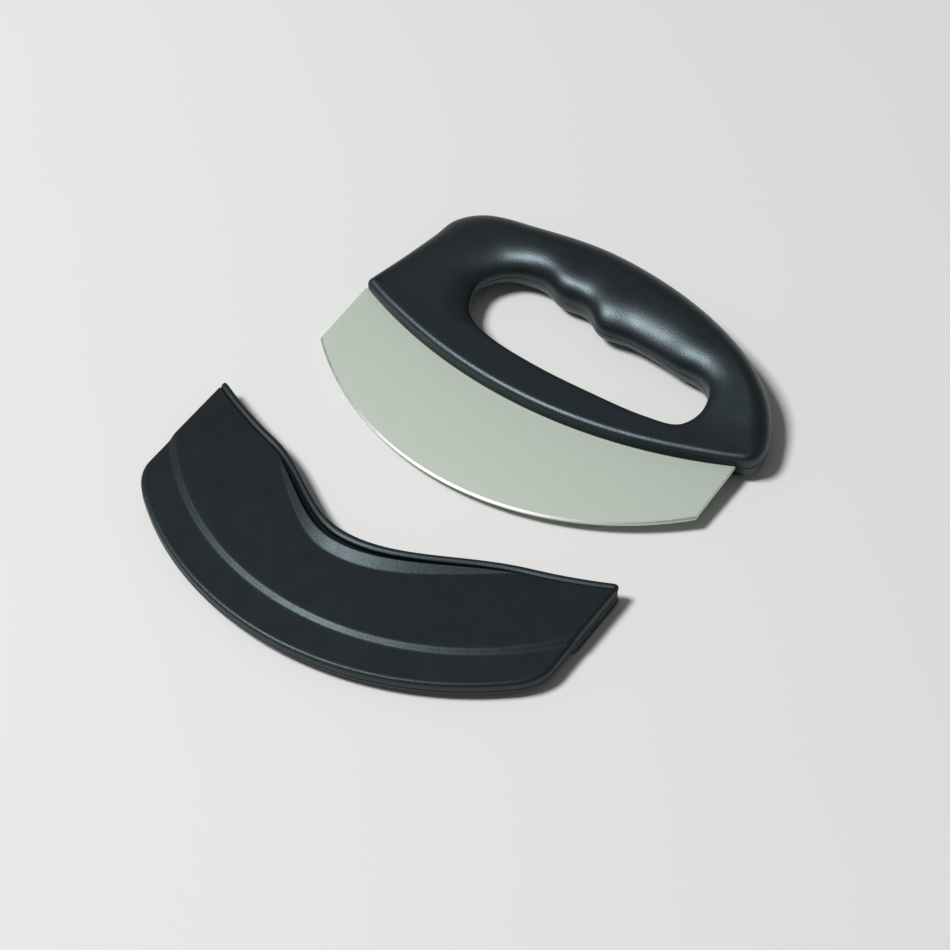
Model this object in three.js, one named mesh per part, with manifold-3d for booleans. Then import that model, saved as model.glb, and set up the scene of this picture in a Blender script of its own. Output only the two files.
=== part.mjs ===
// Rocking pizza cutter: an arc-edged steel blade clamped between the two halves of a D-ring
// handle, lying beside the two-shell sheath that slides over the blade.
// Millimetres, +Z up. The cutter and its sheath lie flat, with the handle bar and the back of the
// sheath on z = 0.

import * as THREE from 'three';
import { mergeVertices } from 'three/addons/utils/BufferGeometryUtils.js';
import Module from 'manifold-3d';

const wasm = await Module();
wasm.setup();

// Blade
const BLADE_LENGTH = 165;
const BLADE_THICKNESS = 1.7;
const BLADE_END_HEIGHT = 30.2;
const EDGE_RADIUS = 120;
const BEVEL_WIDTH = 1;
const EDGE_LAND = 0.3;
const TANG_DEPTH = 9;
const TANG_INSET = 10;
const SHOULDER_DEPTH = 0.8;

// Handle
const LEDGE_SAG = 19;
const RIGHT_OVERHANG = 6;
const HANDLE_RISE = 61.3;
const LEFT_POST_WIDTH = 35.2;
const RIGHT_POST_WIDTH = 28;
const WEB_HEIGHT = 14;
const HOLE_HEIGHT = 40.5;
const WEB_THICKNESS = 13.4;
const BAR_THICKNESS = 20;
const EDGE_ROUND = 2.4;
const SIDE_ROUND = 9;
const LEAST_ROUND = 0.6;
const DISH_ROUND = 14;
const HANDLE_WALL = 2.6;
const PARTING_GAP = 0.3;
const FINGER_RIDGE_HEIGHT = 3;
const RIDGE_STEEP_SIDE = 5.2;
const RIDGE_GENTLE_SIDE = 10;
const SHOULDER_LENGTH = 58;

// Pins through the tang
const PIN_COUNT = 5;
const PIN_PITCH = 31;
const PIN_RADIUS = 2;
const PIN_GRIP = 3.4;
const PIN_RISE = 5.4;
const BOSS_RADIUS = 3.8;
const FIT_GAP = 0.25;

// Sheath
const SHEATH_LENGTH = 176;
const SHEATH_DEPTH = 88.5;
const SHEATH_THICKNESS = 9.6;
const SHEATH_WALL = 1.8;
const SHEATH_END_WALL = 1.8;
const SHEATH_PARTING_GAP = 0.2;
const SHEATH_BOTTOM_RADIUS = 125;
const SHEATH_CORNER_ROUND = 7;
const END_FLARE = THREE.MathUtils.degToRad(0.3);
const STEP_DEPTH = 72.5;
const STEP_RADIUS = 113;
const FRONT_STEP_DROP = 1.2;
const BACK_STEP_DROP = 3;
const STEP_RUN = 1.9;
const POCKET_GAP = 4;
const MOUTH_CLEARANCE = 1.7;
const SCALLOP_DEPTH = 14.3;
const SCALLOP_SHIFT = -8;
const SCALLOP_LEFT = 47;
const SCALLOP_RIGHT = 66;
const BEAD_WIDTH = 2.8;
const GROOVE_WIDTH = 0.7;
const GROOVE_DEPTH = 0.7;
const TROUGH_WIDTH = 3.7;
const TROUGH_DEPTH = 1.8;
const TROUGH_SKIN = 0.9;
const LIP_RISE = 2.2;
const LIP_RUN = 4.8;
const LIP_SHIFT = 10;
const LIP_LEFT = 57;
const LIP_RIGHT = 46;

// How the two lie beside each other
const BLADE_LEAN = THREE.MathUtils.degToRad(3.4);
const PULL_OFF = 69.2;
const SHEATH_SIDE_SHIFT = -10;

// Fineness of the facets
const LEDGE_STEPS = 30;
const SHOULDER_STEPS = 2;
const RIM_STEPS = 54;
const ROUND_STEPS = 5;
const TURN_STEPS = 180;
const MOUTH_STEPS = 60;
const LIP_STEPS = 32;
const PIN_SIDES = 20;
const CORNER_PASSES = 8;

// How square the web's edges are, the most of a section that one rounded side takes, and the
// stretches of the rim, and of the web for the last, where the softer edges come and go
const SQUARE_BULGE = 0.4;
const FULL_ROUND_SHARE = 0.48;
const SIDE_ROUND_GROWS = [0, 0.08];
const SIDE_ROUND_FADES = [0.3, 0.6];
const DISH_GROWS = [0.7, 0.85];
const DISH_FADES = [0, 0.25];

// How the lip over the mouth runs out: blunt on the left, thin on the right, never quite to nothing
const LIP_LEFT_POWER = 0.5;
const LIP_RIGHT_POWER = 1;
const LIP_LEAST_SHARE = 0.02;

// How far a cutter reaches past the face that it cuts
const OVERCUT = 3;

const handleLeft = -BLADE_LENGTH / 2;
const handleRight = BLADE_LENGTH / 2 + RIGHT_OVERHANG;
const handleLength = handleRight - handleLeft;
const handleMiddle = (handleLeft + handleRight) / 2;
const ledgeRadius = (handleLength ** 2 / 4 + LEDGE_SAG ** 2) / (2 * LEDGE_SAG);
const holeLeft = handleLeft + LEFT_POST_WIDTH;
const holeRight = handleRight - RIGHT_POST_WIDTH;
const holeBottom = WEB_HEIGHT - LEDGE_SAG;
const edgeCentreY = Math.sqrt(EDGE_RADIUS ** 2 - BLADE_LENGTH ** 2 / 4) - BLADE_END_HEIGHT;
const sheathHalf = SHEATH_THICKNESS / 2;

// The handle's outline from its right tip over the top to its left tip, as shares of its length
// and of its rise.
const RIM_SHAPE = [
  [1, 0], [1.004, 0.12], [0.986, 0.243], [0.931, 0.477], [0.826, 0.71], [0.652, 0.909], [0.43, 1],
  [0.242, 0.966], [0.114, 0.888], [0.065, 0.742], [0.051, 0.56], [0.025, 0.28], [0, 0],
];

// The finger hole from its lower left along the web to its lower right, and back over the top, as
// shares of its length and of its height.
const HOLE_BASE = [
  [0.06, 0.375], [0.128, 0.195], [0.205, 0.098], [0.405, 0.024], [0.635, 0.008], [0.845, 0.032],
];
const HOLE_TOP = [
  [0.96, 0.14], [0.995, 0.36], [0.966, 0.61], [0.885, 0.735], [0.74, 0.753], [0.53, 0.835], [0.345, 0.973],
  [0.19, 1.02], [0.085, 0.93], [0.027, 0.68],
];

// The finger ridges: the place of each as a share of the hole's length, and its height as a share of
// the highest.
const FINGER_RIDGES = [[0.318, 0.87], [0.532, 1], [0.81, 0.4]];

const satinBlack = { color: 0x262e32, roughness: 0.45, metalness: 0 };
const brushedSteel = { color: 0xbcc4ba, roughness: 0.35, metalness: 1 };

function solid(geometry) {
  const bare = geometry.clone();
  bare.deleteAttribute('normal');
  bare.deleteAttribute('uv');
  const welded = mergeVertices(bare);
  return new wasm.Manifold(new wasm.Mesh({
    numProp: 3,
    vertProperties: new Float32Array(welded.attributes.position.array),
    triVerts: new Uint32Array(welded.index.array),
  }));
}

function geometryOf(body) {
  const { vertProperties, triVerts } = body.getMesh();
  const geometry = new THREE.BufferGeometry();
  geometry.setAttribute('position', new THREE.BufferAttribute(vertProperties, 3));
  geometry.setIndex(new THREE.BufferAttribute(triVerts, 1));
  geometry.computeVertexNormals();
  return geometry;
}

function mirrored(geometry) {
  const copy = geometry.clone().scale(1, 1, -1);
  const corners = copy.index.array;
  for (let i = 0; i < corners.length; i += 3) {
    [corners[i], corners[i + 1]] = [corners[i + 1], corners[i]];
  }
  copy.computeVertexNormals();
  return copy;
}

function meshOf(name, geometry, finish) {
  const mesh = new THREE.Mesh(geometry, new THREE.MeshStandardMaterial(finish));
  mesh.name = name;
  return mesh;
}

function plate(outline, from, to) {
  const geometry = new THREE.ExtrudeGeometry(new THREE.Shape(outline), {
    depth: to - from,
    bevelEnabled: false,
  });
  return geometry.translate(0, 0, from);
}

function turned(profile, centreY) {
  const geometry = new THREE.LatheGeometry(profile.map(([r, z]) => new THREE.Vector2(r, z)), TURN_STEPS);
  return geometry.rotateX(Math.PI / 2).translate(0, centreY, 0);
}

function stretch(from, to, steps, pointAt) {
  return Array.from({ length: steps + 1 }, (_, i) => pointAt(from + ((to - from) * i) / steps));
}

// The handle's lower edge, where the blade comes out: an arc through both tips.
function ledgeY(x) {
  return ledgeRadius - LEDGE_SAG - Math.sqrt(ledgeRadius ** 2 - (x - handleMiddle) ** 2);
}

// Blade and tang

function bladeOutline(grow, bottom) {
  const end = BLADE_LENGTH / 2 + grow;
  const tangEnd = BLADE_LENGTH / 2 - TANG_INSET + grow;
  const alongLedge = (rise) => (x) => new THREE.Vector2(x, ledgeY(x) + rise + grow);
  return [
    new THREE.Vector2(-end, bottom),
    new THREE.Vector2(end, bottom),
    ...stretch(end, tangEnd, SHOULDER_STEPS, alongLedge(SHOULDER_DEPTH)),
    ...stretch(tangEnd, -tangEnd, LEDGE_STEPS, alongLedge(TANG_DEPTH)),
    ...stretch(-tangEnd, -end, SHOULDER_STEPS, alongLedge(SHOULDER_DEPTH)),
  ];
}

function pinCentres() {
  return Array.from({ length: PIN_COUNT }, (_, i) => {
    const x = handleMiddle + (i - (PIN_COUNT - 1) / 2) * PIN_PITCH;
    return new THREE.Vector2(x, ledgeY(x) + PIN_RISE);
  });
}

function rod(centre, radius, from, to) {
  const geometry = new THREE.CylinderGeometry(radius, radius, to - from, PIN_SIDES);
  return geometry.rotateX(Math.PI / 2).translate(centre.x, centre.y, (from + to) / 2);
}

function bladeGeometry() {
  const half = BLADE_THICKNESS / 2;
  const disc = [
    [0, -half],
    [EDGE_RADIUS - BEVEL_WIDTH, -half],
    [EDGE_RADIUS, -EDGE_LAND / 2],
    [EDGE_RADIUS, EDGE_LAND / 2],
    [EDGE_RADIUS - BEVEL_WIDTH, half],
    [0, half],
  ];
  const bottom = edgeCentreY - EDGE_RADIUS - OVERCUT;
  let blade = solid(plate(bladeOutline(0, bottom), -half, half));
  blade = blade.intersect(solid(turned(disc, edgeCentreY)));
  for (const centre of pinCentres()) {
    blade = blade.subtract(solid(rod(centre, PIN_RADIUS + FIT_GAP, -half - OVERCUT, half + OVERCUT)));
  }
  return geometryOf(blade);
}

// Handle halves

// The finger ridges stand down into the hole from the bar's inner edge.
function fingerRidges(x) {
  let drop = 0;
  for (const [along, height] of FINGER_RIDGES) {
    const away = x - THREE.MathUtils.lerp(holeLeft, holeRight, along);
    const reach = away < 0 ? RIDGE_STEEP_SIDE : RIDGE_GENTLE_SIDE;
    drop += height * FINGER_RIDGE_HEIGHT * Math.exp(-((away / reach) ** 2));
  }
  return drop;
}

function outerPoints() {
  const web = stretch(handleLeft, handleRight, LEDGE_STEPS, (x) => new THREE.Vector3(x, ledgeY(x), 0));
  const rim = new THREE.CatmullRomCurve3(RIM_SHAPE.map(
    ([along, up]) => new THREE.Vector3(handleLeft + along * handleLength, up * HANDLE_RISE, 0),
  ));
  return [...web.slice(0, -1), ...rim.getPoints(RIM_STEPS).slice(0, -1)];
}

function innerPoints() {
  const shape = [...HOLE_BASE, ...HOLE_TOP].map(([along, up]) => new THREE.Vector3(
    holeLeft + along * (holeRight - holeLeft),
    holeBottom + up * HOLE_HEIGHT,
    0,
  ));
  const edge = new THREE.CatmullRomCurve3(shape, true);
  const turn = HOLE_BASE.length / shape.length;
  const web = stretch(0, turn, LEDGE_STEPS, (t) => edge.getPoint(t));
  const bar = stretch(turn, 1, RIM_STEPS, (t) => edge.getPoint(t % 1));
  for (const point of bar) {
    point.y -= fingerRidges(point.x);
  }
  return [...web.slice(0, -1), ...bar.slice(0, -1)];
}

// Sections across the ring: flat and square-edged in the web, thick and round in the bar. The bar
// thins towards its left shoulder, the right side keeps a soft edge down to its tip, and the left
// end of the hole is dished.
function handleSections() {
  const { lerp, smoothstep } = THREE.MathUtils;
  const inner = innerPoints();
  return outerPoints().map((outer, i) => {
    const alongWeb = i / LEDGE_STEPS;
    const alongRim = (i - LEDGE_STEPS) / RIM_STEPS;
    const width = outer.distanceTo(inner[i]);
    const middle = outer.clone().lerp(inner[i], 0.5);
    const bar = smoothstep(middle.y, 0, HOLE_HEIGHT);
    const shoulder = smoothstep(middle.x, handleLeft, handleLeft + SHOULDER_LENGTH);
    const side = smoothstep(alongRim, ...SIDE_ROUND_GROWS) * (1 - smoothstep(alongRim, ...SIDE_ROUND_FADES));
    const dish = smoothstep(alongRim, ...DISH_GROWS) + 1 - smoothstep(alongWeb, ...DISH_FADES);
    const most = width * FULL_ROUND_SHARE;
    const barRound = lerp(EDGE_ROUND, most, bar);
    return {
      outer,
      inward: inner[i].clone().sub(outer).normalize(),
      width,
      half: lerp(WEB_THICKNESS, BAR_THICKNESS, bar * shoulder) / 2,
      outerRound: Math.min(Math.max(barRound, lerp(EDGE_ROUND, SIDE_ROUND, side)), most),
      innerRound: Math.min(Math.max(barRound, lerp(EDGE_ROUND, DISH_ROUND, dish)), most),
      outerBulge: lerp(SQUARE_BULGE, 1, Math.max(bar, side)),
      innerBulge: lerp(SQUARE_BULGE, 1, Math.max(bar, dish)),
    };
  });
}

// A half ring over the given floor, drawn in on all sides by the given inset.
function ringGeometry(sections, inset, floor) {
  const across = 2 * (ROUND_STEPS + 1);
  const points = [];
  const corners = [];
  for (const section of sections) {
    for (let j = 0; j < across; j += 1) {
      const atOuter = j <= ROUND_STEPS;
      const round = atOuter ? section.outerRound : section.innerRound;
      const bulge = atOuter ? section.outerBulge : section.innerBulge;
      const angle = ((atOuter ? j : across - 1 - j) / ROUND_STEPS) * (Math.PI / 2);
      const reach = Math.max(round - inset, LEAST_ROUND);
      const run = inset + reach * (1 - Math.max(Math.cos(angle), 0) ** bulge);
      const rise = (section.half - inset - floor) * Math.sin(angle) ** bulge;
      const point = section.outer.clone();
      point.addScaledVector(section.inward, atOuter ? run : section.width - run);
      points.push(point.x, point.y, floor + rise);
    }
  }
  for (let i = 0; i < sections.length; i += 1) {
    const here = i * across;
    const next = ((i + 1) % sections.length) * across;
    for (let j = 0; j + 1 < across; j += 1) {
      corners.push(here + j, next + j, next + j + 1, here + j, next + j + 1, here + j + 1);
    }
    const last = across - 1;
    corners.push(here, here + last, next + last, here, next + last, next);
  }
  const geometry = new THREE.BufferGeometry();
  geometry.setAttribute('position', new THREE.Float32BufferAttribute(points, 3));
  geometry.setIndex(corners);
  return geometry;
}

function handleHalfGeometry() {
  const floor = PARTING_GAP / 2;
  const sections = handleSections();
  const skin = solid(ringGeometry(sections, 0, floor));
  const hollow = solid(ringGeometry(sections, HANDLE_WALL, floor - OVERCUT));
  const seat = BLADE_THICKNESS / 2 + FIT_GAP;
  let half = skin.subtract(hollow);
  for (const centre of pinCentres()) {
    const boss = solid(rod(centre, BOSS_RADIUS, floor, WEB_THICKNESS / 2)).intersect(skin);
    half = half.add(boss);
  }
  const ledgeDrop = -LEDGE_SAG - OVERCUT;
  half = half.subtract(solid(plate(bladeOutline(FIT_GAP, ledgeDrop), floor - OVERCUT, seat)));
  for (const centre of pinCentres()) {
    const bore = rod(centre, PIN_RADIUS + FIT_GAP, floor - OVERCUT, seat + PIN_GRIP);
    half = half.subtract(solid(bore));
  }
  return geometryOf(half);
}

function addTangPins(group) {
  const reach = BLADE_THICKNESS / 2 + PIN_GRIP;
  pinCentres().forEach((centre, i) => {
    group.add(meshOf(`tang_pin_${i + 1}`, rod(centre, PIN_RADIUS, -reach, reach), brushedSteel));
  });
}

// Sheath shells, drawn where they sit when the blade is home

function scallop(x) {
  const away = Math.abs(x - SCALLOP_SHIFT);
  const reach = x < SCALLOP_SHIFT ? SCALLOP_LEFT : SCALLOP_RIGHT;
  return away < reach ? Math.cos((Math.PI * away) / (2 * reach)) ** 2 : 0;
}

function mouthY(x) {
  return ledgeY(x) - MOUTH_CLEARANCE - SCALLOP_DEPTH * scallop(x);
}

function sheathEnd(y, inset) {
  return SHEATH_LENGTH / 2 - inset + y * Math.tan(END_FLARE);
}

function arcY(radius, depth) {
  return (x) => radius - depth - Math.sqrt(radius ** 2 - x ** 2);
}

function lowerCorner(bottomY, inset) {
  let x = sheathEnd(0, inset);
  for (let i = 0; i < CORNER_PASSES; i += 1) {
    x = sheathEnd(bottomY(x), inset);
  }
  return new THREE.Vector2(x, bottomY(x));
}

function sheathOutline() {
  const bottomY = arcY(SHEATH_BOTTOM_RADIUS, SHEATH_DEPTH);
  const corner = lowerCorner(bottomY, 0);
  const top = sheathEnd(0, 0);
  const arcEnd = corner.x - SHEATH_CORNER_ROUND;
  const sideY = corner.y + SHEATH_CORNER_ROUND;
  const sideX = sheathEnd(sideY, 0);
  const round = (sign) => new THREE.QuadraticBezierCurve(
    new THREE.Vector2(sign * sideX, sideY),
    new THREE.Vector2(sign * corner.x, corner.y),
    new THREE.Vector2(sign * arcEnd, bottomY(arcEnd)),
  ).getPoints(ROUND_STEPS);
  return [
    ...stretch(top, -top, MOUTH_STEPS, (x) => new THREE.Vector2(x, mouthY(x))),
    ...round(-1),
    ...stretch(-arcEnd, arcEnd, MOUTH_STEPS, (x) => new THREE.Vector2(x, bottomY(x))).slice(1, -1),
    ...round(1).reverse(),
  ];
}

function pocketOutline() {
  const radius = EDGE_RADIUS + POCKET_GAP;
  const floorY = arcY(radius, radius - edgeCentreY);
  const corner = lowerCorner(floorY, SHEATH_END_WALL);
  const top = sheathEnd(OVERCUT, SHEATH_END_WALL);
  return [
    new THREE.Vector2(top, OVERCUT),
    new THREE.Vector2(-top, OVERCUT),
    ...stretch(-corner.x, corner.x, MOUTH_STEPS, (x) => new THREE.Vector2(x, floorY(x))),
  ];
}

function lipShare(x) {
  const away = Math.abs(x - LIP_SHIFT);
  const [reach, power] = x < LIP_SHIFT ? [LIP_LEFT, LIP_LEFT_POWER] : [LIP_RIGHT, LIP_RIGHT_POWER];
  return away < reach ? (1 - (away / reach) ** 2) ** power : 0;
}

// The groove behind the mouth's bead.
function grooveOutline() {
  const end = sheathEnd(0, -OVERCUT);
  const alongMouth = (drop) => (x) => new THREE.Vector2(x, mouthY(x) - drop);
  return [
    ...stretch(end, -end, MOUTH_STEPS, alongMouth(BEAD_WIDTH)),
    ...stretch(-end, end, MOUTH_STEPS, alongMouth(BEAD_WIDTH + GROOVE_WIDTH)),
  ];
}

// The lip: a ramp that rises from the panel towards the mouth, to be cut off along the trough.
function lipSection(x) {
  const share = Math.max(lipShare(x), LIP_LEAST_SHARE);
  const nearY = mouthY(x) - BEAD_WIDTH - TROUGH_WIDTH * share;
  const farY = nearY - GROOVE_WIDTH - LIP_RUN * share;
  const low = sheathHalf - GROOVE_DEPTH;
  return [[farY, low], [nearY, low], [nearY, sheathHalf + LIP_RISE * share], [farY, sheathHalf]];
}

// The trough between the lip and the bead. Grown by its skin and run on past the mouth, it is the
// solid that closes the pocket under it.
function troughSection(skin) {
  return (x) => {
    const share = Math.max(lipShare(x), LIP_LEAST_SHARE);
    const bead = mouthY(x) - BEAD_WIDTH;
    const farY = bead - GROOVE_WIDTH - TROUGH_WIDTH * share - skin;
    const nearY = skin > 0 ? bead + BEAD_WIDTH + OVERCUT : bead;
    const low = sheathHalf - GROOVE_DEPTH - TROUGH_DEPTH * share - skin;
    const top = sheathHalf + OVERCUT;
    return [[farY, low], [nearY, low], [nearY, top], [farY, top]];
  };
}

function alongLip(sectionAt) {
  const sections = stretch(LIP_SHIFT - LIP_LEFT, LIP_SHIFT + LIP_RIGHT, LIP_STEPS, (x) => (
    sectionAt(x).map(([y, z]) => [x, y, z])
  ));
  const sides = sections[0].length;
  const last = LIP_STEPS * sides;
  const corners = [];
  for (let j = 0; j < sides; j += 1) {
    for (let i = 0; i < LIP_STEPS; i += 1) {
      const a = i * sides + j;
      const b = i * sides + ((j + 1) % sides);
      corners.push(a, b + sides, a + sides, a, b, b + sides);
    }
    if (j > 1) {
      corners.push(0, j, j - 1, last, last + j - 1, last + j);
    }
  }
  const geometry = new THREE.BufferGeometry();
  geometry.setAttribute('position', new THREE.Float32BufferAttribute(sections.flat(2), 3));
  geometry.setIndex(corners);
  return solid(geometry);
}

function sheathShellGeometry(stepDrop, hasLip) {
  const ceiling = sheathHalf - SHEATH_WALL;
  const bandTop = sheathHalf - stepDrop;
  const beyond = STEP_RADIUS + SHEATH_DEPTH;
  const step = [
    [STEP_RADIUS, sheathHalf],
    [STEP_RADIUS + STEP_RUN, bandTop],
    [beyond, bandTop],
    [beyond, sheathHalf + OVERCUT],
    [STEP_RADIUS, sheathHalf + OVERCUT],
    [STEP_RADIUS, sheathHalf],
  ];
  let shell = solid(plate(sheathOutline(), SHEATH_PARTING_GAP / 2, sheathHalf));
  let pocket = solid(plate(pocketOutline(), -OVERCUT, ceiling));
  if (hasLip) {
    shell = shell.add(alongLip(lipSection)).subtract(alongLip(troughSection(0)));
    pocket = pocket.subtract(alongLip(troughSection(TROUGH_SKIN)));
  }
  shell = shell.subtract(pocket);
  shell = shell.subtract(solid(turned(step, STEP_RADIUS - STEP_DEPTH)));
  shell = shell.subtract(solid(plate(grooveOutline(), sheathHalf - GROOVE_DEPTH, sheathHalf + OVERCUT)));
  return geometryOf(shell);
}

function buildKnife() {
  const knife = new THREE.Group();
  const half = handleHalfGeometry();
  knife.add(meshOf('blade', bladeGeometry(), brushedSteel));
  knife.add(meshOf('handle_front_shell', half, satinBlack));
  knife.add(meshOf('handle_rear_shell', mirrored(half), satinBlack));
  addTangPins(knife);
  knife.rotation.x = BLADE_LEAN;
  knife.position.z = -new THREE.Box3().setFromObject(knife, true).min.z;
  return knife;
}

function buildSheath() {
  const sheath = new THREE.Group();
  const front = sheathShellGeometry(FRONT_STEP_DROP, true);
  const back = mirrored(sheathShellGeometry(BACK_STEP_DROP, false));
  sheath.add(meshOf('sheath_front_shell', front, satinBlack));
  sheath.add(meshOf('sheath_back_shell', back, satinBlack));
  sheath.position.set(SHEATH_SIDE_SHIFT, -PULL_OFF, sheathHalf);
  return sheath;
}

// The origin is on the surface that the cutter lies on, at the middle of its box.
function buildCutter() {
  const cutter = new THREE.Group();
  cutter.add(buildKnife(), buildSheath());
  const middle = new THREE.Box3().setFromObject(cutter, true).getCenter(new THREE.Vector3());
  cutter.position.set(-middle.x, -middle.y, 0);
  return cutter;
}

export default buildCutter();
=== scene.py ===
"""Looks for the rocking pizza cutter and its sheath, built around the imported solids."""

import math

import bmesh
import bpy
import numpy as np
from mathutils import Matrix, Vector


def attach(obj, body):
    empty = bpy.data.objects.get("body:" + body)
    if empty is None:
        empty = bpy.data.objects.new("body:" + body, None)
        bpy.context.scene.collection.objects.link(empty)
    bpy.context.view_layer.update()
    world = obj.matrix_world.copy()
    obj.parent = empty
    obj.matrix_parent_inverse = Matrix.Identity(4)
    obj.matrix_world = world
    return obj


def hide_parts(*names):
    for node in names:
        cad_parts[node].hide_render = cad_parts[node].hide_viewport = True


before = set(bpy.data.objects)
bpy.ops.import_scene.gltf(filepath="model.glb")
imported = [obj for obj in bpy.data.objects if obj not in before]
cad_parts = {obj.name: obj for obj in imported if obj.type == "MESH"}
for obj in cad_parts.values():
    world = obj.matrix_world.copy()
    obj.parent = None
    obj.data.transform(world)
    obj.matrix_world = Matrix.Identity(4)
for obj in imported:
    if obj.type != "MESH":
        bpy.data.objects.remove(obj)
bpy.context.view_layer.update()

# Where the cutter and the sheath lie. All sizes are in millimetres until a mesh is made.
MM = 0.001
LEAN = math.radians(3.4)
KNIFE_PLACE = np.array([4.36858, 48.21167, 7.79161])
SHEATH_PLACE = np.array([-5.63142, -20.98833, 4.8])

# Blade
BLADE_HALF_LENGTH = 82.5
BLADE_HALF = 0.85
BLADE_END_HEIGHT = 30.2
EDGE_RADIUS = 120
BEVEL_WIDTH = 0.8
EDGE_LAND = 0.6
EDGE_BREAK = 0.14
LAND_RISE = 0.08
FLAT_TOP = 2
FLAT_SHARES = (0.25, 0.5, 0.75, 1)
BLADE_COLUMNS = 331
BLADE_SHARP = 12
TANG_DEPTH = 9
TANG_INSET = 10
SHOULDER_DEPTH = 0.8
CORNER_CUT = 0.7
PIN_COUNT = 5
PIN_PITCH = 31
PIN_RISE = 5.4
PIN_HOLE_RADIUS = 2.25
PIN_HOLE_SIDES = 40
PIN_HOLE_LENGTH = 6 * BLADE_HALF

# Handle
HANDLE_LEFT = -82.5
HANDLE_RIGHT = 88.5
LEDGE_SAG = 19
HANDLE_RISE = 61.25
HOLE_LEFT = HANDLE_LEFT + 35.2
HOLE_RIGHT = HANDLE_RIGHT - 28
HOLE_BOTTOM = -5
HOLE_HEIGHT = 40.5
WEB_HALF = 5.7
BAR_HALF = 9.79
SHOULDER_LENGTH = 58
EDGE_FILLET = 2.7
SIDE_ROUND = 9
DISH_ROUND = 14
OUTER_ROUND_SHARE = 0.38
INNER_ROUND_SHARE = 0.6
BAR_FULLNESS = 0.88
LEAST_ROUND = 0.6
HANDLE_WALL = 2.6
PARTING_HALF = 0.07
PARTING_LIP = 0.16
BLADE_SLOT = 1.1
SLOT_END_PLAY = 0.25
SLOT_TOP_PLAY = 0.4
LEFT_TIP_ROUND = 2.6
RIGHT_TIP_ROUND = 4.5
RIDGES = ((-16, 3), (5, 3.6), (42, 1.3))
RIDGE_STEEP_SIDE = 6.8
RIDGE_GENTLE_SIDE = 8.5
LEDGE_DRAFT = 0.6
LEDGE_STEPS = range(1, 5)  # steps of a section that form the wall above the blade
HANDLE_SHARP = 38

# Shares of the rim, and of the web for the last three, over which softer edges come and go
SIDE_COMES, SIDE_GOES = (0, 0.16), (0.3, 0.6)
DISH_COMES = (0.62, 0.9)
DISH_GOES = (0, 0.25)
DRAFT_COMES, DRAFT_GOES = (0, 0.15), (0.85, 1)

# The rim from right to left, as shares of the handle's length and rise. The finger hole from its
# lower left along the web to its lower right, and back over the top, as shares of its own box.
RIM_SHAPE = (
    (1, 0), (1.0038, 0.12), (0.991, 0.243), (0.937, 0.477), (0.829, 0.71), (0.652, 0.909), (0.43, 1),
    (0.238, 0.945), (0.105, 0.874), (0.056, 0.742), (0.044, 0.565), (0.024, 0.285), (0, 0),
)
HOLE_BASE = (
    (0.047, 0.395), (0.118, 0.233), (0.203, 0.149), (0.405, 0.08), (0.635, 0.065), (0.845, 0.085),
)
HOLE_TOP = (
    (0.96, 0.16), (0.995, 0.38), (0.966, 0.64), (0.885, 0.77), (0.74, 0.79), (0.53, 0.86), (0.345, 0.985),
    (0.19, 1.02), (0.078, 0.93), (0.014, 0.68),
)

# Sheath
SHEATH_HALF_LENGTH = 88
SHEATH_DEPTH = 88.5
SHEATH_HALF = 4.8
SHEATH_WALL = 1.8
SHEATH_BOTTOM_RADIUS = 125
SHEATH_CORNER_ROUND = 7
CORNER_PASSES = 8
MOUTH_CORNER_ROUNDS = (2, 3)
END_FLARE = math.tan(math.radians(0.3))
STEP_DEPTH = 72.5
STEP_RADIUS = 113
FRONT_STEP_DROP = 1.2
BACK_STEP_DROP = 3
STEP_RUN = 1.9
POCKET_RADIUS = EDGE_RADIUS + 4
MOUTH_CLEARANCE = 1.7
SCALLOP_DEPTH = 14.3
SCALLOP_SHIFT = -8
SCALLOP_LEFT = 47
SCALLOP_RIGHT = 66
BEAD_WIDTH = 3.4
BEAD_ROLL = 2.4
GROOVE_WIDTH = 0.7
GROOVE_DEPTH = 0.85
TROUGH_WIDTH = 3.4
TROUGH_DEPTH = 1.8
TROUGH_SKIN = 0.9
LIP_RISE = 2.2
LIP_RUN = 4.8
LIP_SHIFT = 10
LIP_LEFT = 57
LIP_RIGHT = 46
LIP_FOOT = 0.12
LIP_END_POWERS = (0.5, 1)
LEAST_RAMP = 1
CREST_ROUND = 0.45
FRONT_FILLET = 1.4
BACK_FILLET = 1.3
STEP_ROUND = 0.4
SHEATH_PARTING = 0.1
SHEATH_SHARP = 30

# How finely the handle is divided: sections round the ring, and steps across each
WEB_SECTIONS = 260
RIM_SECTIONS = 460
EVEN_SHARE = 0.4
ROUND_STEPS = 14
FLAT_STEPS = 8

# How finely the sheath is divided: columns in from each end, and rows down from the mouth
MIDDLE_COLUMNS = 150
END_SPACING = (0, 0.012, 0.04, 0.09, 0.17, 0.28, 0.42, 0.6, 0.8, 1.05, 1.4, 1.85, 2.4, 3.1, 4, 5, 6, 7)
BEAD_SHARES = (0, 0.01, 0.035, 0.08, 0.14, 0.21, 0.3, 0.4, 0.55, 0.7, 0.8, 0.87, 0.93, 0.97)
WALL_SPACING = (0, 0.05, 0.12)
TROUGH_SHARES = (0.33, 0.67, 1)
CREST_SPACING = (0.03, 0.08, 0.16, 0.28, 0.45, 0.7)
RAMP_STEPS = 15
RAMP_FOOT = 0.9
FOOT_SPACING = (1.4, 2.3)
PANEL_STEPS = 14
PANEL_END = 2
STEP_SPACING = (
    -1, -0.6, -0.4, -0.25, -0.1, 0.05, 0.2, 0.4, 0.7, 1, 1.3, 1.55, 1.7, 1.85, 2, 2.2, 2.6, 3.2,
)
RIM_SPACING = (6, 3.5, 2.2, 1.5, 1.1, 0.8, 0.6, 0.42, 0.28, 0.17, 0.09, 0.04, 0.012, 0)
BAND_WIDTH = 14
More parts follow.
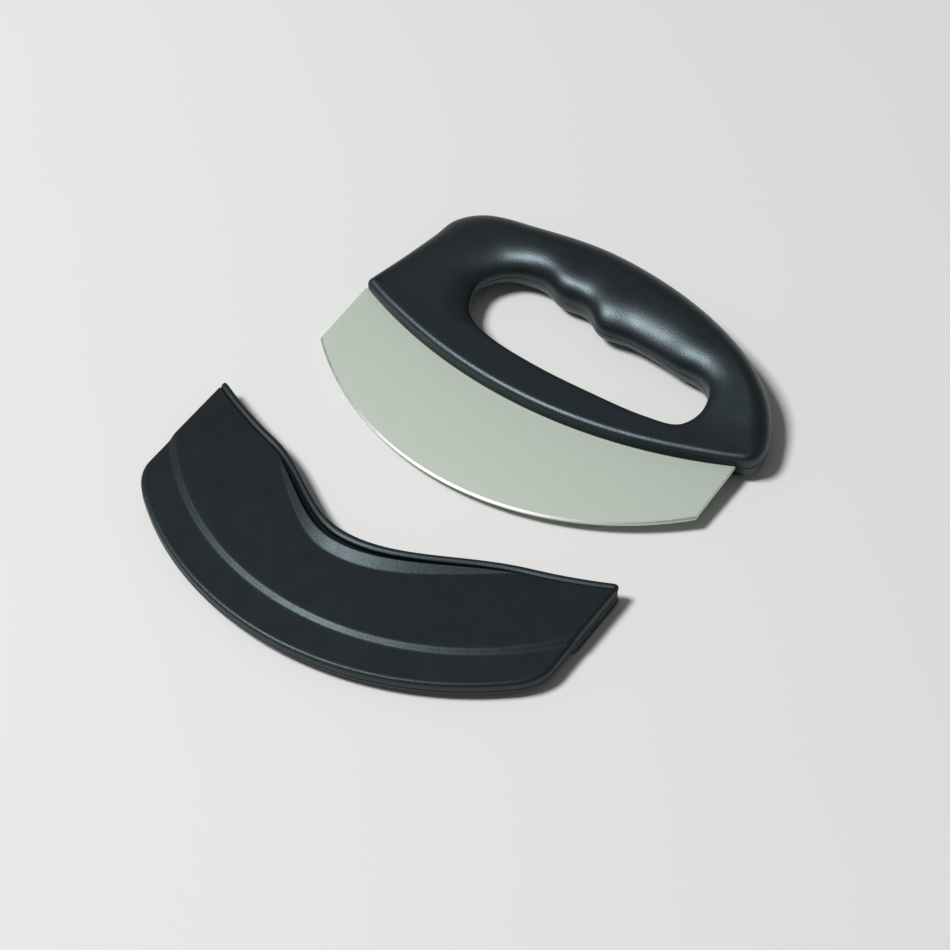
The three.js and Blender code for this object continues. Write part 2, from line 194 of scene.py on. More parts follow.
TROUGH_TOP = len(BEAD_SHARES)
TROUGH_ROWS = range(TROUGH_TOP, TROUGH_TOP + len(WALL_SPACING) + len(TROUGH_SHARES))
BEAD_WALL = 0.02

# Materials: each noise has a scale per metre and a detail, depths of the bumps are in metres
NOISE_SPAN = (0.3, 0.7)
PLASTIC_CLOUD = (38, 3)
PLASTIC_PATCH = (160, 4)
GRAIN_DETAIL = 2
PLASTIC_TINT = (0.72, 0.92, 1, 1)
GRAIN_DEPTH = 0.0001
BRUSH_TURN = math.radians(33)
BRUSH_STRETCH = 45
BRUSH_NOISE = (1700, 3)
BRUSH_DEPTH = 0.00004
BRUSH_SHARE, CLOUD_SHARE = 0.55, 0.45
STEEL_CLOUD = (22, 2)
HANDLE_BLACKS = (0.0026, 0.0040, 0.0052), (0.0036, 0.0052, 0.0066)
SHEATH_BLACKS = (0.0026, 0.0040, 0.0050), (0.0036, 0.0052, 0.0062)

# Studio, in metres, but for the camera's place, sensor and focal length in millimetres
FLOOR_REACH = 6
FLOOR_GREYS = (0.64, 0.64, 0.63), (0.67, 0.67, 0.66)
FLOOR_CLOUD = (3, 2)
FLOOR_ROUGHNESS = 0.9
FLOOR_GLOSS = 0.1
KEY_TOWARDS = (-0.372, -0.361, 0.856)
KEY_DISTANCE = 3
KEY_SIDE = 0.75
KEY_WATTS = 104
WORLD_STRENGTH = 0.18
CAMERA_PLACE = (453.686, -622.084, 857.567)
CAMERA_RIGHT = (0.8270699, 0.5614825, -0.0261600)
CAMERA_UP = (-0.4050272, 0.6275769, 0.6648862)
CAMERA_BACK = (0.3896959, -0.5393112, 0.7464660)
SENSOR_WIDTH = 36
FOCAL_LENGTH = 119.615
CLIP_NEAR, CLIP_FAR = 0.05, 50

LEDGE_RADIUS = ((HANDLE_RIGHT - HANDLE_LEFT) ** 2 / 4 + LEDGE_SAG ** 2) / (2 * LEDGE_SAG)
HANDLE_MIDDLE = (HANDLE_LEFT + HANDLE_RIGHT) / 2
EDGE_CENTRE_Y = math.sqrt(EDGE_RADIUS ** 2 - BLADE_HALF_LENGTH ** 2) - BLADE_END_HEIGHT
STEP_CENTRE_Y = STEP_RADIUS - STEP_DEPTH
BOTTOM_CENTRE_Y = SHEATH_BOTTOM_RADIUS - SHEATH_DEPTH


def lerp(a, b, t):
    return a + (b - a) * t


def smoothstep(x, low, high):
    t = np.clip((x - low) / (high - low), 0, 1)
    return t * t * (3 - 2 * t)


def unit(v):
    return v / np.maximum(np.linalg.norm(v, axis=-1, keepdims=True), 1e-9)


def ledge_y(x):
    """The handle's lower edge along the blade, a shallow arc."""
    return LEDGE_RADIUS - LEDGE_SAG - np.sqrt(LEDGE_RADIUS ** 2 - (x - HANDLE_MIDDLE) ** 2)


def arc_y(x, radius, centre_y):
    """The lower side of a circle about x = 0."""
    return centre_y - np.sqrt(radius ** 2 - x ** 2)


def on_knife(points):
    """From the cutter's own millimetres to the scene's metres, leaning as it lies."""
    c, s = math.cos(LEAN), math.sin(LEAN)
    turn = np.array([[1, 0, 0], [0, c, -s], [0, s, c]])
    return (points @ turn.T + KNIFE_PLACE) * MM


def on_sheath(points):
    """From the sheath's own millimetres to the scene's metres."""
    return (points + SHEATH_PLACE) * MM


def grid_faces(index, closed=False):
    """Quads between the rows and columns of a table of vertex numbers."""
    if closed:
        index = np.vstack([index, index[:1]])
    quads = np.stack([index[:-1, :-1], index[1:, :-1], index[1:, 1:], index[:-1, 1:]], axis=-1)
    return quads.reshape(-1, 4).tolist()


def link(name, data):
    """A new object in the scene."""
    obj = bpy.data.objects.new(name, data)
    bpy.context.scene.collection.objects.link(obj)
    return obj


def piece(name, points, faces, body, materials, nodes, sharp):
    """A closed mesh that rides on a body and stands for CAD nodes."""
    mesh = bpy.data.meshes.new(name)
    mesh.from_pydata(points.tolist(), [], faces)
    bm = bmesh.new()
    bm.from_mesh(mesh)
    bmesh.ops.recalc_face_normals(bm, faces=bm.faces)
    bm.to_mesh(mesh)
    bm.free()
    mesh.shade_smooth()
    mesh.set_sharp_from_angle(angle=math.radians(sharp))
    for material in materials:
        mesh.materials.append(material)
    obj = link(name, mesh)
    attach(obj, body)
    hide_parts(*nodes)
    return obj


# Materials

def material(name):
    made = bpy.data.materials.new(name)
    made.use_nodes = True
    nodes = made.node_tree.nodes
    return made, nodes, made.node_tree.links, nodes["Principled BSDF"]


def add_noise(nodes, links, vector, scale, detail):
    noise = nodes.new("ShaderNodeTexNoise")
    noise.inputs["Scale"].default_value = scale
    noise.inputs["Detail"].default_value = detail
    links.new(vector, noise.inputs["Vector"])
    return noise.outputs["Fac"]


def add_range(nodes, links, value, low, high):
    ranged = nodes.new("ShaderNodeMapRange")
    ranged.inputs["From Min"].default_value = NOISE_SPAN[0]
    ranged.inputs["From Max"].default_value = NOISE_SPAN[1]
    ranged.inputs["To Min"].default_value = low
    ranged.inputs["To Max"].default_value = high
    links.new(value, ranged.inputs["Value"])
    return ranged.outputs["Result"]


def add_mix(nodes, links, value, first, second):
    mix = nodes.new("ShaderNodeMix")
    mix.data_type = "RGBA"
    mix.inputs["A"].default_value = (*first, 1)
    mix.inputs["B"].default_value = (*second, 1)
    links.new(value, mix.inputs["Factor"])
    return mix.outputs["Result"]


def add_bump(nodes, links, value, strength, distance, shader):
    bump = nodes.new("ShaderNodeBump")
    bump.inputs["Strength"].default_value = strength
    bump.inputs["Distance"].default_value = distance
    links.new(value, bump.inputs["Height"])
    links.new(bump.outputs["Normal"], shader.inputs["Normal"])


def moulded_plastic(name, blacks, roughness, gloss, grain, strength):
    """Black plastic with slightly cloudy colour and gloss, and a fine moulded grain."""
    made, nodes, links, shader = material(name)
    place = nodes.new("ShaderNodeTexCoord").outputs["Object"]
    cloud = add_noise(nodes, links, place, *PLASTIC_CLOUD)
    links.new(add_mix(nodes, links, cloud, *blacks), shader.inputs["Base Color"])
    patch = add_noise(nodes, links, place, *PLASTIC_PATCH)
    links.new(add_range(nodes, links, patch, *roughness), shader.inputs["Roughness"])
    shader.inputs["Specular IOR Level"].default_value = gloss
    shader.inputs["Specular Tint"].default_value = PLASTIC_TINT
    fine = add_noise(nodes, links, place, grain, GRAIN_DETAIL)
    add_bump(nodes, links, fine, strength, GRAIN_DEPTH, shader)
    return made


def brushed_steel(name, dark, light, roughness, strength):
    """Steel with fine streaks across the blade and a faint cloud."""
    made, nodes, links, shader = material(name)
    shader.inputs["Metallic"].default_value = 1
    place = nodes.new("ShaderNodeTexCoord").outputs["Object"]
    turn = nodes.new("ShaderNodeMapping")
    turn.vector_type = "TEXTURE"
    turn.inputs["Rotation"].default_value = (0, 0, BRUSH_TURN)
    turn.inputs["Scale"].default_value = (1, BRUSH_STRETCH, 1)
    links.new(place, turn.inputs["Vector"])
    streaks = add_noise(nodes, links, turn.outputs["Vector"], *BRUSH_NOISE)
    cloud = add_noise(nodes, links, place, *STEEL_CLOUD)
    both = nodes.new("ShaderNodeMath")
    both.operation = "MULTIPLY_ADD"
    both.inputs[1].default_value = BRUSH_SHARE
    links.new(streaks, both.inputs[0])
    rest = nodes.new("ShaderNodeMath")
    rest.operation = "MULTIPLY"
    rest.inputs[1].default_value = CLOUD_SHARE
    links.new(cloud, rest.inputs[0])
    links.new(rest.outputs[0], both.inputs[2])
    links.new(add_mix(nodes, links, both.outputs[0], dark, light), shader.inputs["Base Color"])
    links.new(add_range(nodes, links, streaks, *roughness), shader.inputs["Roughness"])
    add_bump(nodes, links, streaks, strength, BRUSH_DEPTH, shader)
    return made


handle_plastic = moulded_plastic(
    "handle_satin_black", HANDLE_BLACKS, roughness=(0.38, 0.42), gloss=0.68, grain=1900, strength=0.8,
)
sheath_plastic = moulded_plastic(
    "sheath_grained_black", SHEATH_BLACKS, roughness=(0.42, 0.48), gloss=0.54, grain=2000, strength=0.9,
)
# A rougher copy of the black plastic with its gloss turned down so that it renders darker: painted shade
# for the recesses, the wall above the blade and the sheath's trough.
painted_shade_plastic = moulded_plastic(
    "recess_painted_shade_black", HANDLE_BLACKS, roughness=(0.5, 0.56), gloss=0.2, grain=2600, strength=0.06,
)
blade_steel = brushed_steel(
    "blade_brushed_steel", dark=(0.722, 0.797, 0.708), light=(0.733, 0.81, 0.72),
    roughness=(0.53, 0.54), strength=0.004,
)
edge_steel = brushed_steel(
    "blade_ground_edge", dark=(0.66, 0.68, 0.66), light=(0.74, 0.75, 0.73),
    roughness=(0.36, 0.44), strength=0.02,
)
pin_steel = brushed_steel(
    "pin_steel", dark=(0.46, 0.48, 0.47), light=(0.58, 0.60, 0.58),
    roughness=(0.3, 0.42), strength=0.1,
)


# Blade and tang

def build_blade():
    """The plate as columns of points from the tang down to the edge and up the other side."""
    ends = BLADE_HALF_LENGTH - np.array([0, EDGE_BREAK])
    inner = np.linspace(-1, 1, BLADE_COLUMNS) * (BLADE_HALF_LENGTH - 2 * EDGE_BREAK)
    columns = np.concatenate([-ends, inner, ends[::-1]])
    tang_end = BLADE_HALF_LENGTH - TANG_INSET
    rows = []
    for x in columns:
        thin = EDGE_BREAK if abs(x) >= BLADE_HALF_LENGTH - 1e-6 else 0
        half = BLADE_HALF - thin
        edge = arc_y(x, EDGE_RADIUS, EDGE_CENTRE_Y)
        grind = arc_y(x, EDGE_RADIUS - BEVEL_WIDTH, EDGE_CENTRE_Y)
        shoulder = min(SHOULDER_DEPTH, x + BLADE_HALF_LENGTH - CORNER_CUT)
        top = ledge_y(x) + (TANG_DEPTH if abs(x) < tang_end else shoulder)
        land = EDGE_LAND / 2
        flat_top = ledge_y(x) - FLAT_TOP
        front = [(top, half), (flat_top, half)]
        front += [(lerp(flat_top, grind, t), half) for t in FLAT_SHARES]
        front += [(edge + LAND_RISE, land), (edge, land / 2)]
        back = [(y, -z) for y, z in reversed(front)]
        rows.append([(x, y, z) for y, z in front + back])
    points = np.array(rows)
    count = points.shape[1]
    index = np.arange(points.shape[0] * count).reshape(-1, count)
    faces = grid_faces(np.hstack([index, index[:, :1]]))
    faces += [index[0].tolist(), index[-1][::-1].tolist()]
    blade = piece(
        "cutter_blade", on_knife(points.reshape(-1, 3)), faces,
        "cutter", [blade_steel, edge_steel], ["blade"], BLADE_SHARP,
    )
    last_flat = 1 + len(FLAT_SHARES)
    ground = range(last_flat, count - 1 - last_flat)
    for i, face in enumerate(blade.data.polygons):
        if i < len(faces) - 2 and i % count in ground:
            face.material_index = 1
    cut_pin_holes(blade)


def cut_pin_holes(blade):
    """Holes through the tang where the solids have their pins."""
    rods = bpy.data.meshes.new("pin_holes")
    radius = PIN_HOLE_RADIUS * MM
    bm = bmesh.new()
    for i in range(PIN_COUNT):
        x = HANDLE_MIDDLE + (i - (PIN_COUNT - 1) / 2) * PIN_PITCH
        centre = on_knife(np.array([x, ledge_y(x) + PIN_RISE, 0.0]))
        place = Matrix.Translation(centre) @ Matrix.Rotation(LEAN, 4, "X")
        bmesh.ops.create_cone(
            bm, cap_ends=True, segments=PIN_HOLE_SIDES, radius1=radius, radius2=radius,
            depth=PIN_HOLE_LENGTH * MM, matrix=place,
        )
    bm.to_mesh(rods)
    bm.free()
    tool = link("pin_holes", rods)
    cut = blade.modifiers.new("pin_holes", "BOOLEAN")
    cut.object = tool
    cut.solver = "EXACT"
    bpy.context.view_layer.update()
    depsgraph = bpy.context.evaluated_depsgraph_get()
    done = bpy.data.meshes.new_from_object(blade.evaluated_get(depsgraph))
    blade.modifiers.clear()
    blade.data = done
    bpy.data.objects.remove(tool)


# Handle halves

def smooth_curve(points, closed):
    """A centripetal Catmull-Rom curve through the points, as a function of 0 to 1."""
    points = np.array(points, float)
    count = len(points)
    span = count if closed else count - 1
    if closed:
        padded = np.vstack([points[-1:], points, points[:2]])
    else:
        padded = np.vstack([2 * points[0] - points[1], points, 2 * points[-1] - points[-2]])

    def gap(a, b):
        return np.sqrt(np.linalg.norm(b - a, axis=1, keepdims=True))

    def at(share):
        place = np.asarray(share) * span
        k = np.minimum(place.astype(int), span - 1)
        w = (place - k)[:, None]
        p0, p1, p2, p3 = (padded[k + j] for j in range(4))
        a, b, c = gap(p0, p1), gap(p1, p2), gap(p2, p3)
        t1 = ((p1 - p0) / a - (p2 - p0) / (a + b) + (p2 - p1) / b) * b
        t2 = ((p2 - p1) / b - (p3 - p1) / (b + c) + (p3 - p2) / c) * b
        return p1 + t1 * w + (3 * (p2 - p1) - 2 * t1 - t2) * w ** 2 + (2 * (p1 - p2) + t1 + t2) * w ** 3

    return at


def eased(count):
    """Shares from 0 to just under 1, closer together at both ends."""
    even = np.arange(count) / count
    return EVEN_SHARE * even + (1 - EVEN_SHARE) * (0.5 - 0.5 * np.cos(math.pi * even))


def rounded_at(loop, at, reach):
    """The loop with its corner at one point rounded over the given reach to both sides."""
    count = len(loop)
    order = (np.arange(count) + at - count // 2) % count
    run = loop[order]
    steps = np.linalg.norm(np.diff(run, axis=0), axis=1)
    along = np.concatenate([[0], np.cumsum(steps)])
    along -= along[count // 2]
    before = np.array([np.interp(-reach, along, run[:, k]) for k in range(2)])
    after = np.array([np.interp(reach, along, run[:, k]) for k in range(2)])
    inside = np.abs(along) < reach
    t = ((along[inside] + reach) / (2 * reach))[:, None]
    run = run.copy()
    corner = run[count // 2].copy()
    run[inside] = (1 - t) ** 2 * before + 2 * t * (1 - t) * corner + t ** 2 * after
    loop = loop.copy()
    loop[order] = run
    return loop


def handle_loops():
    """The ring's outer and inner edge, and each point's share of the web, then 1 plus that of the rim."""
    web_share, rim_share = eased(WEB_SECTIONS), eased(RIM_SECTIONS)
    ledge_x = lerp(HANDLE_LEFT, HANDLE_RIGHT, web_share)
    web = np.stack([ledge_x, ledge_y(ledge_x)], axis=1)
    rim = smooth_curve(
        [(lerp(HANDLE_LEFT, HANDLE_RIGHT, along), up * HANDLE_RISE) for along, up in RIM_SHAPE],
        closed=False,
    )
    outer = np.vstack([web, rim(rim_share)])
    outer = rounded_at(outer, 0, LEFT_TIP_ROUND)
    outer = rounded_at(outer, WEB_SECTIONS, RIGHT_TIP_ROUND)
    hole_shape = HOLE_BASE + HOLE_TOP
    hole = smooth_curve(
        [(lerp(HOLE_LEFT, HOLE_RIGHT, along), HOLE_BOTTOM + up * HOLE_HEIGHT) for along, up in hole_shape],
        closed=True,
    )
    turn = len(HOLE_BASE) / len(hole_shape)
    inner = np.vstack([hole(turn * web_share), hole(lerp(turn, 1, rim_share))])
    shares = np.concatenate([web_share, 1 + rim_share])
    return outer, inner, shares


def inward_of(loop, sign):
    """The direction into the ring's material at each point of an edge."""
    along = unit(np.roll(loop, -1, axis=0) - np.roll(loop, 1, axis=0))
    return sign * np.stack([-along[:, 1], along[:, 0]], axis=1)


def handle_top(flat):
    """The height of the handle's top: thick in the bar, thin in the web and the left shoulder."""
    bar = smoothstep(flat[:, 1], 0, HOLE_HEIGHT)
    shoulder = smoothstep(flat[:, 0], HANDLE_LEFT, HANDLE_LEFT + SHOULDER_LENGTH)
    return lerp(WEB_HALF, BAR_HALF, bar * shoulder)


def finger_ridges(x):
    """How far the bar's inner side stands out into the finger hole at x."""
    out = 0 * x
    for ridge, height in RIDGES:
        away = x - ridge
        reach = np.where(away < 0, RIDGE_STEEP_SIDE, RIDGE_GENTLE_SIDE)
        out += height * np.exp(-(away / reach) ** 2)
    return out


def handle_section(inset, floor_outer, floor_inner):
    """Points across the half ring, from the outer rim over the top to the finger hole."""
    outer, inner, shares = handle_loops()
    along_web, along_rim = shares, shares - 1
    spoke = inner - outer
    width = np.linalg.norm(spoke, axis=1)
    spoke = unit(spoke)
    bar = smoothstep((outer[:, 1] + inner[:, 1]) / 2, 0, HOLE_HEIGHT)
    side = smoothstep(along_rim, *SIDE_COMES) * (1 - smoothstep(along_rim, *SIDE_GOES))
    dish = smoothstep(along_rim, *DISH_COMES) + 1 - smoothstep(along_web, *DISH_GOES)
    draft = LEDGE_DRAFT * smoothstep(along_web, *DRAFT_COMES) * (1 - smoothstep(along_web, *DRAFT_GOES))
    parts = []
    for edge, sign, floor, soft, reach, share, full in (
        (outer, 1, floor_outer, side, SIDE_ROUND, OUTER_ROUND_SHARE, 1),
        (inner, -1, floor_inner, dish, DISH_ROUND, INNER_ROUND_SHARE, BAR_FULLNESS),
    ):
        most = width * share
        lean = draft if sign > 0 else 0 * draft
        softness = bar + soft - bar * soft
        run = np.minimum(lerp(lerp(EDGE_FILLET, reach, soft), most, bar), most)
        run = np.maximum(run - inset, LEAST_ROUND)
        direction = unit(lerp(inward_of(edge, sign), sign * spoke, softness[:, None]))
        start = edge + direction * inset
        ridged = (sign < 0) & (along_rim >= 0)

        def shifted(flat):
            return flat - np.stack([0 * width, ridged * finger_ridges(flat[:, 0])], axis=1)

        line = [(shifted(start + direction * PARTING_LIP), floor), (shifted(start), floor + PARTING_LIP)]
        for angle in np.linspace(0, math.pi / 2, ROUND_STEPS + 1):
            flat = start + direction * (lean + run * (1 - math.cos(angle) ** full))[:, None]
            top = handle_top(flat) - inset
            most_rise = top - floor - 2 * PARTING_LIP
            rise = np.minimum(lerp(EDGE_FILLET, most_rise, softness), most_rise)
            line.append((shifted(flat), top - rise * (1 - math.sin(angle) ** full)))
        parts.append(line)
    over = []
    for t in np.linspace(0, 1, FLAT_STEPS + 1)[1:-1]:
        flat = lerp(parts[0][-1][0], parts[1][-1][0], t)
        over.append((flat, handle_top(flat) - inset))
    line = parts[0] + over + parts[1][::-1]
    return np.stack(
        [np.column_stack([flat, np.broadcast_to(z, len(flat))]) for flat, z in line], axis=1,
    )


def build_handle_half(name, node, side):
    """A hollow half ring, open towards the other half, with a slot for the blade along its ledge."""
    outer_x, outer_y = handle_loops()[0].T
    by_ledge = outer_y < ledge_y(outer_x) + SHOULDER_DEPTH + SLOT_TOP_PLAY
    slotted = by_ledge & (outer_x < BLADE_HALF_LENGTH + SLOT_END_PLAY)
    slot = np.where(slotted, BLADE_SLOT, PARTING_HALF)
    inner_floor = np.full(len(slot), PARTING_HALF)
    skin = handle_section(0, slot, inner_floor)
    hollow = handle_section(HANDLE_WALL, slot, inner_floor)
    count, across = skin.shape[:2]
    points = np.concatenate([skin.reshape(-1, 3), hollow.reshape(-1, 3)])
    points[:, 2] *= side
    skin_index = np.arange(count * across).reshape(count, across)
    hollow_index = skin_index + count * across
    loop = np.hstack([skin_index, hollow_index[:, ::-1], skin_index[:, :1]])
    faces = grid_faces(loop, closed=True)
    half = piece(
        name, on_knife(points), faces,
        "cutter", [handle_plastic, painted_shade_plastic], [node], HANDLE_SHARP,
    )
    # The wall above the blade takes the darkened copy of the plastic, as painted shade.
    for i, face in enumerate(half.data.polygons):
        section, step = divmod(i, loop.shape[1] - 1)
        face.material_index = int(slotted[section] and step in LEDGE_STEPS)


# Sheath shells

def mouth_y(x):
    """The sheath's mouth: along the handle's ledge, with a scallop."""
    reach = np.where(x < SCALLOP_SHIFT, SCALLOP_LEFT, SCALLOP_RIGHT)
    inside = np.clip(np.abs(x - SCALLOP_SHIFT) / reach, 0, 1)
    return ledge_y(x) - MOUTH_CLEARANCE - SCALLOP_DEPTH * np.cos(inside * math.pi / 2) ** 2


def sheath_end(y):
    """Half the sheath's length at y: its ends flare a little towards the mouth."""
    return SHEATH_HALF_LENGTH + y * END_FLARE


def lip_share(x, has_lip):
    """How much of the lip stands at x: blunt at its left end, thin at its right end."""
    left = x < LIP_SHIFT
    inside = np.clip(np.abs(x - LIP_SHIFT) / np.where(left, LIP_LEFT, LIP_RIGHT), 0, 1)
    return (1 - inside ** 2) ** np.where(left, *LIP_END_POWERS) * has_lip


def sheath_corner():
    """The sharp lower right corner of the outline, before it is rounded."""
    x = SHEATH_HALF_LENGTH
    for _ in range(CORNER_PASSES):
        x = sheath_end(arc_y(x, SHEATH_BOTTOM_RADIUS, BOTTOM_CENTRE_Y))
    return x, arc_y(x, SHEATH_BOTTOM_RADIUS, BOTTOM_CENTRE_Y)


def bottom_y(x, end):
    """The outline's lower side: an arc, rounded up into the end walls."""
    corner_x, corner_y = sheath_corner()
    arc_end = corner_x - SHEATH_CORNER_ROUND
    arc_end_y = arc_y(arc_end, SHEATH_BOTTOM_RADIUS, BOTTOM_CENTRE_Y)
    side_y = corner_y + SHEATH_CORNER_ROUND
    x = np.abs(x)
    t = np.sqrt(np.clip((end - x) / (end - arc_end), 0, 1))
    rounded = (1 - t) ** 2 * side_y + 2 * t * (1 - t) * corner_y + t ** 2 * arc_end_y
    arc = arc_y(np.minimum(x, arc_end), SHEATH_BOTTOM_RADIUS, BOTTOM_CENTRE_Y)
    return np.where(x < arc_end, arc, rounded)


def rounding(distance, radius):
    """How far a rounded edge lies below its face, at a distance from the edge."""
    inside = np.clip(radius - distance, 0, radius)
    return radius - np.sqrt(radius ** 2 - inside ** 2)


def sheath_columns():
    """The columns' places, as shares of half the sheath's length."""
    end = SHEATH_HALF_LENGTH - np.array(END_SPACING)
    middle = np.linspace(-end[-1], end[-1], MIDDLE_COLUMNS)[1:-1]
    return np.concatenate([-end, middle, end[::-1]]) / SHEATH_HALF_LENGTH


def sheath_rows(x, end, has_lip):
    """The y of each row of the shell's face, from the mouth to the bottom edge, at the columns x."""
    mouth = mouth_y(x)
    corner = np.where(x < 0, *MOUTH_CORNER_ROUNDS)
    over = np.clip(np.abs(x) - (end - corner), 0, corner)
    lip = mouth - (corner - np.sqrt(corner ** 2 - over ** 2))
    bead = mouth - BEAD_WIDTH
    share = lip_share(x, has_lip)
    wide = GROOVE_WIDTH + TROUGH_WIDTH * share
    run = np.maximum(LIP_RUN * share, LEAST_RAMP)
    wall = WALL_SPACING[-1]
    crest = CREST_SPACING[-1]
    foot = bead - wide - run
    rows = [lerp(lip, bead, t) for t in BEAD_SHARES]
    rows += [bead - o for o in WALL_SPACING]
    rows += [bead - lerp(wall, wide - wall, t) for t in TROUGH_SHARES]
    rows += [bead - wide + o for o in WALL_SPACING[1::-1]]
    rows += [bead - wide - o for o in CREST_SPACING]
    rows += [bead - wide - lerp(crest, run + RAMP_FOOT, t) for t in np.linspace(0, 1, RAMP_STEPS)[1:]]
    rows += [foot - o for o in FOOT_SPACING]
    step_start = arc_y(x, STEP_RADIUS - PANEL_END, STEP_CENTRE_Y)
    rows += [lerp(rows[-1], step_start, t) for t in np.linspace(0, 1, PANEL_STEPS)[1:]]
    rows += [arc_y(x, STEP_RADIUS + o, STEP_CENTRE_Y) for o in STEP_SPACING]
    rows += [lerp(rows[-1], bottom_y(x, end), 1 - o / BAND_WIDTH) for o in RIM_SPACING]
    return np.array(rows)


def distance_to(points, line):
    """The distance from each point to a line of points."""
    best = np.full(len(points), 1e9)
    for a, b in zip(line[:-1], line[1:]):
        along = b - a
        t = np.clip(((points - a) @ along) / max(along @ along, 1e-12), 0, 1)
        best = np.minimum(best, np.linalg.norm(points - a - t[:, None] * along, axis=1))
    return best


def eased_ramp(along, length, ease):
    """A ramp from 0 to 1 with its two bends rounded."""
    def bend(t):
        return (t + np.sqrt(t ** 2 + ease ** 2)) / 2
    return (bend(along) - bend(along - length)) / length


def sheath_face_z(x, y, step_drop, has_lip):
    """The height of the shell's face, without the rounding of its outer edge."""
    inside = mouth_y(x) - BEAD_WIDTH - y
    share = lip_share(x, has_lip)
    past = inside - GROOVE_WIDTH - TROUGH_WIDTH * share
    ramp = LIP_RISE * share - past * LIP_RISE / LIP_RUN
    foot = LIP_FOOT if has_lip else 0
    lip = (ramp + np.sqrt(ramp ** 2 + foot ** 2)) / 2 - rounding(past, CREST_ROUND)
    floor = -GROOVE_DEPTH - TROUGH_DEPTH * share
    across = np.clip(-inside - BEAD_WIDTH / 2, -BEAD_WIDTH / 2, BEAD_WIDTH / 2)
    bead = np.sqrt(BEAD_ROLL ** 2 - across ** 2) - BEAD_ROLL
    relief = np.where(past >= 0, lip, np.where(inside >= BEAD_WALL, floor, bead))
    out = np.hypot(x, y - STEP_CENTRE_Y) - STEP_RADIUS
    return SHEATH_HALF + relief - step_drop * eased_ramp(out, STEP_RUN, STEP_ROUND)


def pocket_z(x, y, has_lip):
    """The ceiling of the pocket, which comes down under the trough and the bead."""
    share = lip_share(x, has_lip)
    far = mouth_y(x) - BEAD_WIDTH - GROOVE_WIDTH - TROUGH_WIDTH * share - TROUGH_SKIN
    low = SHEATH_HALF - GROOVE_DEPTH - TROUGH_DEPTH * share - TROUGH_SKIN
    ceiling = SHEATH_HALF - SHEATH_WALL
    return np.where(y > far, np.minimum(low, ceiling), ceiling)


def rim_path(table):
    """The numbers along the left side, the bottom and the right side of a table."""
    return np.concatenate([table[:-1, 0], table[-1, :-1], table[::-1, -1]])


def build_sheath_shell(name, node, side, step_drop, fillet, has_lip):
    """A tray: its face, the pocket behind it, and the rim that joins them on three sides."""
    share = sheath_columns()
    end = sheath_end(-SHEATH_DEPTH / 2)
    y = sheath_rows(share * end, end, has_lip)
    x = share * sheath_end(y)
    flat = np.stack([x.ravel(), y.ravel()], axis=1)
    table = np.arange(y.size).reshape(y.shape)
    path = rim_path(table)
    outline = flat[np.concatenate([path, table[0, ::-1]])]
    z = sheath_face_z(flat[:, 0], flat[:, 1], step_drop, has_lip)
    z -= rounding(distance_to(flat, outline), fillet)
    face = np.column_stack([flat, z])

    inner_x = np.broadcast_to(share * (end - SHEATH_WALL), y.shape)
    floor = arc_y(inner_x[0], POCKET_RADIUS, EDGE_CENTRE_Y)
    steps = np.linspace(0, 1, y.shape[0])[:, None]
    inner_y = lerp(mouth_y(inner_x[0])[None, :], floor[None, :], steps)
    inner = np.column_stack([
        inner_x.ravel(), inner_y.ravel(), pocket_z(inner_x.ravel(), inner_y.ravel(), has_lip),
    ])
    inner_table = table + len(face)
    inner_path = rim_path(inner_table)

    rim = flat[path]
    pocket_rim = inner[inner_path - len(face), :2]
    inset = unit(pocket_rim - rim) * PARTING_LIP
    wall = np.column_stack([rim, np.full(len(rim), SHEATH_PARTING + PARTING_LIP)])
    lip = np.column_stack([rim + inset, np.full(len(rim), SHEATH_PARTING)])
    seat = np.column_stack([pocket_rim, np.full(len(rim), SHEATH_PARTING)])
    points = np.concatenate([face, inner, wall, lip, seat])
    base = len(face) + len(inner)
    wall_index = base + np.arange(len(rim))
    lip_index = wall_index + len(rim)
    seat_index = lip_index + len(rim)
    around = np.stack([path, wall_index, lip_index, seat_index, inner_path])
    faces = grid_faces(table) + grid_faces(inner_table) + grid_faces(around)
    faces += grid_faces(np.stack([table[0], inner_table[0]]))
    faces += [around[:, 0].tolist(), around[:, -1].tolist()]
    points[:, 2] *= side
    shell = piece(
        name, on_sheath(points), faces,
        "sheath", [sheath_plastic, painted_shade_plastic], [node], SHEATH_SHARP,
    )
    # The trough's rows take the darkened copy of the plastic, as painted shade.
    for i, polygon in enumerate(shell.data.polygons):
        polygon.material_index = int(i // (table.shape[1] - 1) in TROUGH_ROWS)


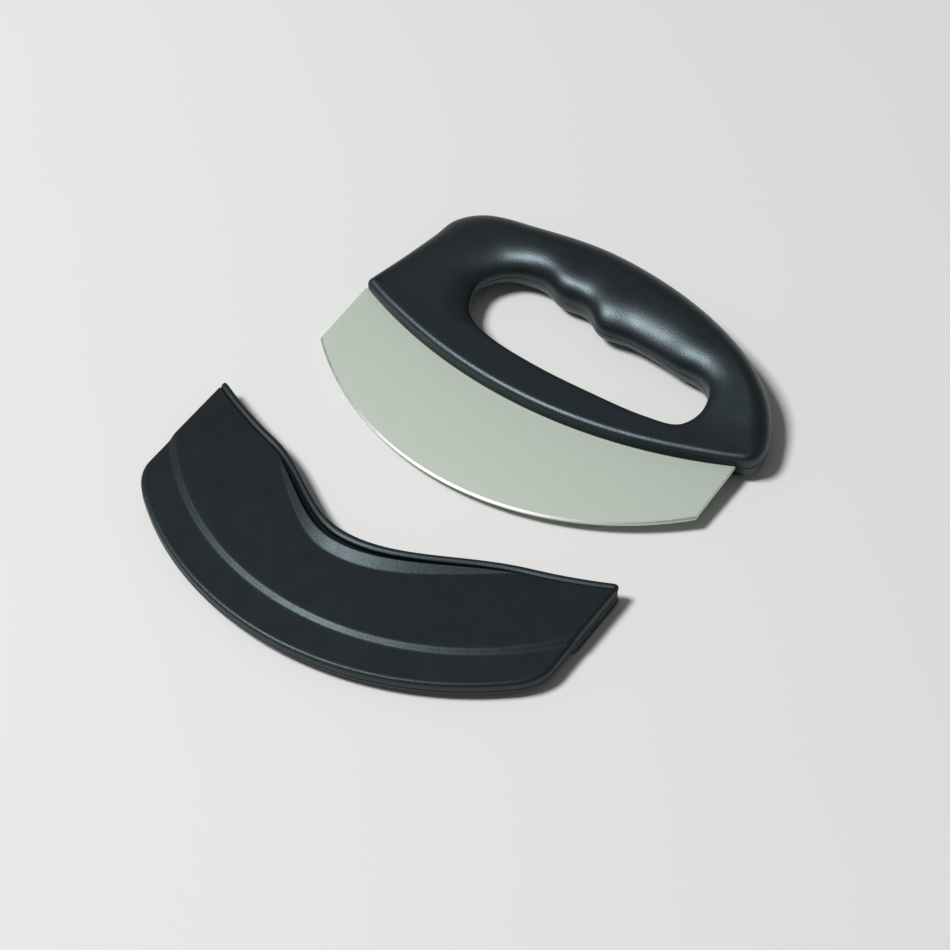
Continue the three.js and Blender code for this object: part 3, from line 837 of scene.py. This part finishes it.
build_blade()
build_handle_half("handle_front_half", "handle_front_shell", 1)
build_handle_half("handle_rear_half", "handle_rear_shell", -1)
build_sheath_shell("sheath_front", "sheath_front_shell", 1, FRONT_STEP_DROP, FRONT_FILLET, True)
build_sheath_shell("sheath_back", "sheath_back_shell", -1, BACK_STEP_DROP, BACK_FILLET, False)
for number in range(1, PIN_COUNT + 1):
    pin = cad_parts[f"tang_pin_{number}"]
    pin.data.materials.clear()
    pin.data.materials.append(pin_steel)


# Floor, light and camera

def build_floor():
    mesh = bpy.data.meshes.new("floor")
    corners = [(-1, -1), (1, -1), (1, 1), (-1, 1)]
    mesh.from_pydata([(x * FLOOR_REACH, y * FLOOR_REACH, 0) for x, y in corners], [], [(0, 1, 2, 3)])
    floor = link("floor", mesh)
    made, nodes, links, shader = material("pale_floor")
    place = nodes.new("ShaderNodeTexCoord").outputs["Object"]
    cloud = add_noise(nodes, links, place, *FLOOR_CLOUD)
    links.new(add_mix(nodes, links, cloud, *FLOOR_GREYS), shader.inputs["Base Color"])
    shader.inputs["Roughness"].default_value = FLOOR_ROUGHNESS
    shader.inputs["Specular IOR Level"].default_value = FLOOR_GLOSS
    mesh.materials.append(made)


def build_light():
    lamp = bpy.data.lights.new("key_softbox", "AREA")
    lamp.shape = "RECTANGLE"
    lamp.size, lamp.size_y = KEY_SIDE, KEY_SIDE
    lamp.energy = KEY_WATTS
    softbox = link("key_softbox", lamp)
    softbox.location = Vector(KEY_TOWARDS).normalized() * KEY_DISTANCE
    softbox.rotation_mode = "QUATERNION"
    softbox.rotation_quaternion = (-softbox.location).to_track_quat("-Z", "Y")
    world = bpy.data.worlds.new("studio")
    bpy.context.scene.world = world
    world.use_nodes = True
    back = world.node_tree.nodes["Background"]
    back.inputs["Color"].default_value = (1, 1, 1, 1)
    back.inputs["Strength"].default_value = WORLD_STRENGTH


def build_camera():
    lens = bpy.data.cameras.new("camera")
    lens.sensor_width = SENSOR_WIDTH
    lens.lens = FOCAL_LENGTH
    lens.clip_start, lens.clip_end = CLIP_NEAR, CLIP_FAR
    camera = link("camera", lens)
    turn = Matrix((CAMERA_RIGHT, CAMERA_UP, CAMERA_BACK)).transposed()
    camera.matrix_world = Matrix.Translation(Vector(CAMERA_PLACE) * MM) @ turn.to_4x4()
    bpy.context.scene.camera = camera


build_floor()
build_light()
build_camera()
bpy.context.scene.view_settings.view_transform = "Standard"
